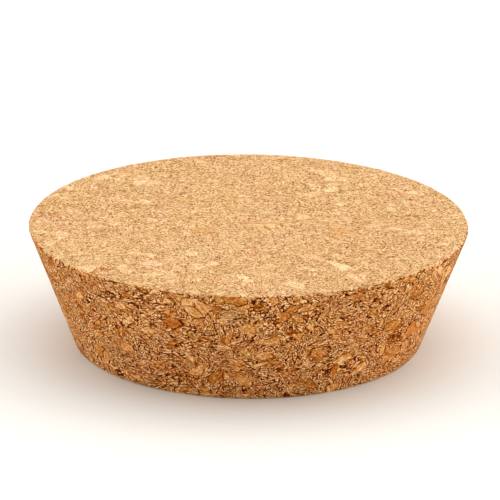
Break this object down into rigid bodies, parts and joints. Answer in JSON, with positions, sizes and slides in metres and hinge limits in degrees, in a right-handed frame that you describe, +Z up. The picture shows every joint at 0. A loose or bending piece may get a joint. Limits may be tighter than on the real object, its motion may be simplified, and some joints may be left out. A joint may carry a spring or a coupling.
{
  "type": "cork stopper",
  "caption": "Wide tapered stopper of pressed cork granules: a solid cone frustum with flat ends that wedges by its wall into the mouth of a jar.",
  "frame": {"origin": "centre of the narrow end's face, which the stopper stands on", "axes": "+Z up along the cone's axis, from the narrow end to the wide end; X and Y are free, because the part is round"},
  "size_m": [0.0896, 0.0896, 0.025],
  "materials": {
    "pressed_cork": "matt ground cork with visible granules, no coating"
  },
  "bodies": {
    "root": {"stopper": "pressed_cork"}
  },
  "joints": []
}
